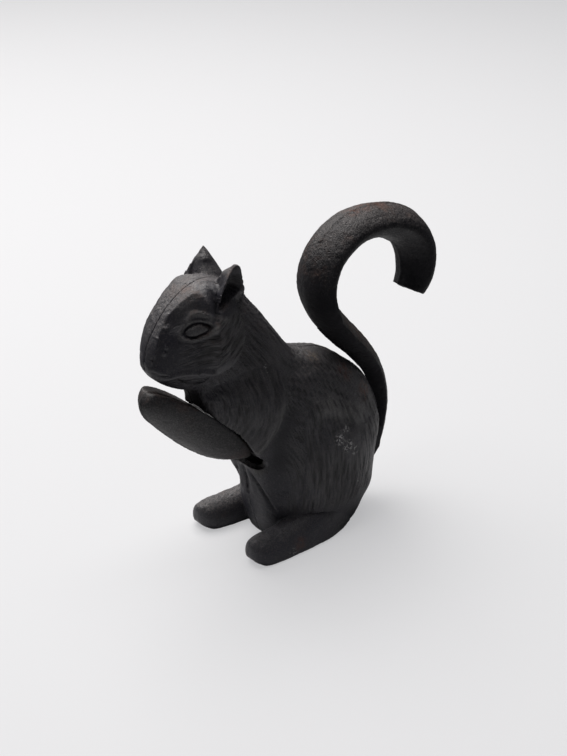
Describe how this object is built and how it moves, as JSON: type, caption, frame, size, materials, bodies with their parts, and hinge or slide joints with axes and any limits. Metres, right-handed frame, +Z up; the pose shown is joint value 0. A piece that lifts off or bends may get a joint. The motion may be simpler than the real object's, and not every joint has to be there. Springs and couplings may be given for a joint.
{
  "type": "lever nutcracker press",
  "caption": "Seated squirrel nutcracker cast in two hollow halves; pulling its tail lever back lifts the forearm jaw against the chin.",
  "frame": {"origin": "middle of the whole part's box in X and Y, at the height of the flat undersides of the feet and body", "axes": "-X is the way the squirrel faces, +Y its right side, +Z up; Y = 0 is the parting plane of the two halves"},
  "size_m": [0.1971, 0.0674, 0.1759],
  "materials": {
    "iron": "sand cast, bare and darkened, with light rust",
    "steel": "plain steel, dulled"
  },
  "bodies": {
    "body": {"body_left": "iron", "body_right": "iron", "pivot_pin": "steel", "body_screw_upper": "steel", "body_screw_lower": "steel"},
    "lever": {"tail_lever": "iron"}
  },
  "joints": [
    {"name": "tail_hinge", "type": "hinge", "parent": "body", "child": "lever", "pos_m": [-0.0185, 0, 0.055], "axis": [0, -1, 0], "range_deg": [0, 18]}
  ]
}
